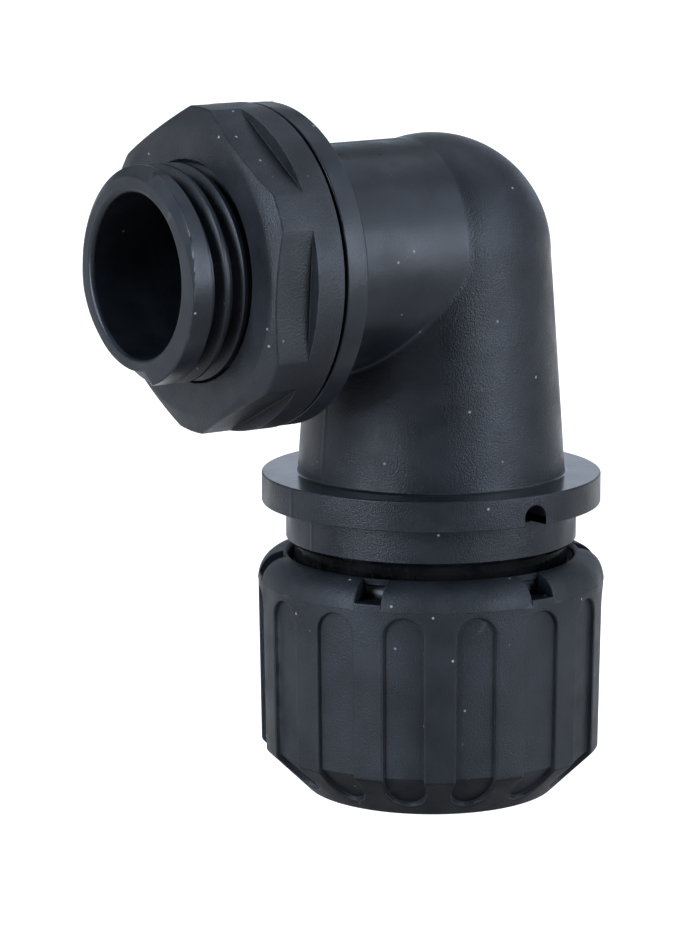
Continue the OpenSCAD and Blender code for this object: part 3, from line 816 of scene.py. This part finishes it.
def nut_finish_and_shade(centre, normal):
    """1: darker, barely reflecting and a little rougher, as painted shade on the downward chamfer and foot and
    inside the slots. 0: the rest.
    """
    r, z = np.hypot(centre[:, 0], centre[:, 1]), centre[:, 2]
    outward = (normal[:, 0] * centre[:, 0] + normal[:, 1] * centre[:, 1]) / r
    # Downward faces and the slots' insides take the painted shade material.
    foot = (normal[:, 2] < -0.45) & (z < 3.7)
    slot = (z > SLOT_BOTTOM - 0.02) & (z < 18.38) & (r > RIM_BORE_R) & (r < NUT_R - 0.15)
    slot &= (np.abs(z - SLOT_BOTTOM) < 0.02) | (np.abs(r - SLOT_R) < 0.04) | (np.hypot(outward, normal[:, 2]) < 0.4)
    return np.where(foot | slot, 1, 0)


# ---------------------------------------------------------------- materials
def new_material(name):
    """A material, its node tree and its Principled shader."""
    material = bpy.data.materials.new(name)
    material.use_nodes = True
    tree = material.node_tree
    shader = next(n for n in tree.nodes if n.type == "BSDF_PRINCIPLED")
    return material, tree, shader


def plastic(name, colour, rough, grain, grain_scale, edge_wear_and_highlight=0.5, specks=0.0, rough_swing=0.08, specular=0.5):
    """Moulded plastic or rubber: grained, unevenly glossy, paler on sharp edges as rubbed wear and as a painted edge
    highlight, with a little dust.
    """
    material, tree, shader = new_material(name)
    nodes, links = tree.nodes, tree.links

    def node(kind, **values):
        made = nodes.new(kind)
        for key, value in values.items():
            setattr(made, key, value)
        return made

    def noise(scale, detail, roughness=0.5):
        made = node("ShaderNodeTexNoise")
        made.inputs["Scale"].default_value = scale
        made.inputs["Detail"].default_value = detail
        made.inputs["Roughness"].default_value = roughness
        links.new(place.outputs["Object"], made.inputs["Vector"])
        return made

    def spread(source, low, high, to_low, to_high):
        made = node("ShaderNodeMapRange")
        made.inputs["From Min"].default_value = low
        made.inputs["From Max"].default_value = high
        made.inputs["To Min"].default_value = to_low
        made.inputs["To Max"].default_value = to_high
        links.new(source, made.inputs["Value"])
        return made.outputs["Result"]

    def mix(factor, first, second):
        made = node("ShaderNodeMix", data_type="RGBA")
        links.new(factor, made.inputs["Factor"])
        for socket, value in (("A", first), ("B", second)):
            target = next(i for i in made.inputs if i.name == socket and i.type == "RGBA")
            if isinstance(value, tuple):
                target.default_value = (*value, 1)
            else:
                links.new(value, target)
        return next(o for o in made.outputs if o.type == "RGBA")

    def maths(kind, first, second=None, value=None):
        made = node("ShaderNodeMath", operation=kind)
        links.new(first, made.inputs[0])
        if second is not None:
            links.new(second, made.inputs[1])
        elif value is not None:
            made.inputs[1].default_value = value
        return made.outputs[0]

    place = node("ShaderNodeTexCoord")
    patches = noise(260, 3)
    fine = noise(grain_scale, 2, 0.6)
    dark = tuple(c * 0.78 for c in colour)
    pale = tuple(min(c * 1.3 + 0.002, 1) for c in colour)
    base = mix(spread(patches.outputs["Fac"], 0.35, 0.65, 0, 1), dark, pale)
    tips = tuple(min(c * 1.8 + 0.004, 1) for c in colour)
    base = mix(spread(fine.outputs["Fac"], 0.52, 0.75, 0, 0.45), base, tips)
    edge = node("ShaderNodeNewGeometry")
    # Sharp edges turn paler: partly rubbed wear and partly a painted edge highlight.
    rubbed_and_highlit = maths("MULTIPLY", spread(edge.outputs["Pointiness"], 0.53, 0.62, 0, edge_wear_and_highlight),
                   spread(noise(900, 2).outputs["Fac"], 0.4, 0.65, 0.2, 1))
    worn_and_highlit_colour = tuple(min(c * 2.2 + 0.02, 1) for c in colour)
    base = mix(rubbed_and_highlit, base, worn_and_highlit_colour)
    if specks:
        cells = node("ShaderNodeTexVoronoi")
        cells.inputs["Scale"].default_value = 1300
        links.new(place.outputs["Object"], cells.inputs["Vector"])
        lone = spread(cells.outputs["Color"], 1 - specks, 1 - specks + 0.01, 0, 1)
        spot = spread(cells.outputs["Distance"], 0.08, 0.16, 1, 0)
        base = mix(maths("MULTIPLY", lone, spot), base, (0.10, 0.095, 0.09))
    links.new(base, shader.inputs["Base Color"])
    gloss = spread(noise(420, 4).outputs["Fac"], 0.3, 0.7, rough - rough_swing, rough + rough_swing)
    links.new(gloss, shader.inputs["Roughness"])
    bump = node("ShaderNodeBump")
    bump.inputs["Strength"].default_value = grain
    bump.inputs["Distance"].default_value = 0.00006
    links.new(fine.outputs["Fac"], bump.inputs["Height"])
    wave = node("ShaderNodeBump")
    wave.inputs["Strength"].default_value = 0.05
    wave.inputs["Distance"].default_value = 0.0002
    links.new(noise(170, 1).outputs["Fac"], wave.inputs["Height"])
    links.new(wave.outputs["Normal"], bump.inputs["Normal"])
    links.new(bump.outputs["Normal"], shader.inputs["Normal"])
    shader.inputs["Specular IOR Level"].default_value = specular
    return material


def wear_on(piece, *materials):
    """Gives the piece its materials, and each face keeps its material number."""
    indices = np.zeros(len(piece.data.polygons), np.int32)
    piece.data.polygons.foreach_get("material_index", indices)
    piece.data.materials.clear()
    for material in materials:
        piece.data.materials.append(material)
    if len(materials) > 1:
        piece.data.polygons.foreach_set("material_index", indices)


body_plastic = plastic("body_plastic", (0.0022, 0.0028, 0.0038), 0.36, 0.7, 8200, specks=0.19, specular=0.1)
# The neck's material: its low roughness is its gloss; its near-black colour and weak reflection are painted shade
# for the deep recess.
neck_shade_plastic = plastic("body_plastic_neck_painted_shade", (0.0006, 0.0006, 0.0007), 0.14, 0.05, 3000, edge_wear_and_highlight=0.1, specular=0.01,
                       rough_swing=0.03)
collar_plastic = plastic("body_plastic_collar", (0.0022, 0.0027, 0.0036), 0.2, 0.1, 6500, edge_wear_and_highlight=0.3, specks=0.19,
                         specular=0.25, rough_swing=0.04)
arm_plastic = plastic("body_plastic_smooth", (0.0022, 0.0028, 0.0038), 0.35, 0.2, 6500, specks=0.16, specular=0.12)
# The lock nut's sharp edges get a strong paleness: partly rubbed wear, partly a painted highlight along the front
# edges of its flats.
lock_plastic = plastic("lock_nut_plastic", (0.0026, 0.003, 0.0038), 0.42, 0.7, 7800, edge_wear_and_highlight=2.2, specks=0.22,
                       specular=0.12)
nut_plastic = plastic("cap_nut_plastic", (0.0026, 0.0033, 0.0043), 0.50, 0.75, 8200, specks=0.19, specular=0.11)
# Darker base and weaker reflection: painted shade for the nut's downward faces and the insides of its slots.
nut_shade_plastic = plastic("cap_nut_plastic_painted_shade", (0.0016, 0.002, 0.0028), 0.55, 0.75, 8200, specks=0.19,
                           specular=0.035)
gasket_rubber = plastic("gasket_rubber", (0.010, 0.010, 0.010), 0.7, 0.4, 3500, specular=0.3)
seal_rubber = plastic("seal_rubber", (0.010, 0.010, 0.010), 0.62, 0.4, 3500, specular=0.35)
insert_rubber = plastic("insert_rubber", (0.012, 0.012, 0.012), 0.7, 0.4, 3500, specular=0.3)
washer_plastic = plastic("washer_plastic", (0.62, 0.60, 0.54), 0.45, 0.3, 3500, edge_wear_and_highlight=0.1)
cage_plastic = plastic("cage_plastic", (0.018, 0.019, 0.021), 0.45, 0.4, 4500)

# ---------------------------------------------------------------- pieces
body_piece = build_body()
wear_on(body_piece, body_plastic, neck_shade_plastic, collar_plastic, arm_plastic)
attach(body_piece, "elbow")
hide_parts("elbow_body")

lock_piece = build_lock_nut()
wear_on(lock_piece, lock_plastic)
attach(lock_piece, "locking")
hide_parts("lock_nut")

nut_piece = build_cap_nut()
wear_on(nut_piece, nut_plastic, nut_shade_plastic)
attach(nut_piece, "cap")
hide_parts("cap_nut")

for name, material in (("panel_gasket", gasket_rubber), ("neck_o_ring", seal_rubber),
                       ("slip_washer", washer_plastic), ("clamping_cage", cage_plastic),
                       ("sealing_insert", insert_rubber)):
    wear_on(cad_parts[name], material)


# ---------------------------------------------------------------- floor, lights, camera
def stage_plane(name, size, place, colour, glow):
    """Square floor, pale and faintly lit from below like a light table. size and place are in metres."""
    shell = Shell()
    side = np.linspace(-size / 2, size / 2, 9) / MM
    x, y = np.meshgrid(side, side, indexing="ij")
    shell.grid(np.stack([x, y, np.zeros_like(x)], -1))
    plane = shell.build(name)
    plane.location = place
    material, tree, shader = new_material(name)
    noise = tree.nodes.new("ShaderNodeTexNoise")
    noise.inputs["Scale"].default_value = 12
    ramp = tree.nodes.new("ShaderNodeMapRange")
    ramp.inputs["To Min"].default_value = 0.5
    ramp.inputs["To Max"].default_value = 0.6
    tree.links.new(noise.outputs["Fac"], ramp.inputs["Value"])
    tree.links.new(ramp.outputs["Result"], shader.inputs["Roughness"])
    shader.inputs["Base Color"].default_value = (*colour, 1)
    shader.inputs["Emission Color"].default_value = (1, 1, 1, 1)
    shader.inputs["Emission Strength"].default_value = glow
    plane.data.materials.append(material)
    return plane


# The cap nut comes down by 3.75 mm when it is undone, so the floor lies just below that
stage_plane("floor", 6.0, (0, 0, -0.0039), (0.15, 0.15, 0.15), 1.0)


def soft_box(name, azimuth, elevation, distance, size, radiance, target=(0, 0, 0.028)):
    """Area light at an azimuth (0 on -Y, 90 on +X), aimed at the object. Lengths are in metres."""
    a, e = math.radians(azimuth), math.radians(elevation)
    place = Vector(target) + distance * Vector((math.sin(a) * math.cos(e), -math.cos(a) * math.cos(e), math.sin(e)))
    light = bpy.data.lights.new(name, "AREA")
    light.shape = "RECTANGLE"
    light.size, light.size_y = size
    light.color = (0.8, 0.92, 1.12)
    light.energy = radiance * math.pi * size[0] * size[1]
    holder = bpy.data.objects.new(name, light)
    bpy.context.scene.collection.objects.link(holder)
    holder.location = place
    holder.rotation_euler = (Vector(target) - place).to_track_quat("-Z", "Y").to_euler()
    return holder


CAMERA_AZIMUTH = -36.7
soft_box("left_soft_box", CAMERA_AZIMUTH - 49, 14, 0.7, (0.22, 0.62), 46)
soft_box("left_back_fill", CAMERA_AZIMUTH - 100, 15, 1.0, (0.7, 0.8), 2.4)
soft_box("right_soft_box", CAMERA_AZIMUTH + 58, 12, 0.7, (0.38, 0.4), 25)
soft_box("right_high_box", CAMERA_AZIMUTH + 88, 40, 1.0, (0.7, 0.55), 5)
soft_box("right_back_fill", CAMERA_AZIMUTH + 108, 15, 1.0, (0.8, 0.8), 1.0)
soft_box("back_panel", CAMERA_AZIMUTH + 180, 13, 1.5, (2.6, 0.7), 0.95)
soft_box("top_soft_box", CAMERA_AZIMUTH + 175, 75, 1.6, (1.8, 1.8), 2.4)

world = bpy.data.worlds.new("studio")
world.use_nodes = True
bpy.context.scene.world = world
background = world.node_tree.nodes["Background"]
background.inputs["Color"].default_value = (1, 1, 1, 1)
background.inputs["Strength"].default_value = 0.1

camera_data = bpy.data.cameras.new("camera")
camera = bpy.data.objects.new("camera", camera_data)
bpy.context.scene.collection.objects.link(camera)
DISTANCE, HEIGHT = 273.02, 76.485
azimuth, yaw, pitch, roll = (math.radians(v) for v in (-36.695, -1.305, -10.70, -0.06))
flat_forward = Vector((-math.sin(azimuth), math.cos(azimuth), 0))
flat_right = Vector((math.cos(azimuth), math.sin(azimuth), 0))
up = Vector((0, 0, 1))
turned = flat_forward * math.cos(yaw) + flat_right * math.sin(yaw)
right = flat_right * math.cos(yaw) - flat_forward * math.sin(yaw)
forward = turned * math.cos(pitch) + up * math.sin(pitch)
camera_up = up * math.cos(pitch) - turned * math.sin(pitch)
rolled_right = right * math.cos(roll) + camera_up * math.sin(roll)
rolled_up = camera_up * math.cos(roll) - right * math.sin(roll)
eye = -flat_forward * DISTANCE + up * HEIGHT
rotation = Matrix((rolled_right, rolled_up, -forward)).transposed()
camera.matrix_world = Matrix.Translation(eye * MM) @ rotation.to_4x4()
camera_data.sensor_fit = "AUTO"
camera_data.sensor_width = 36.0
camera_data.lens = 3620.2 * 36.0 / 933
camera_data.clip_start = 0.01
camera_data.clip_end = 50
bpy.context.scene.camera = camera
bpy.context.scene.view_settings.view_transform = "Standard"
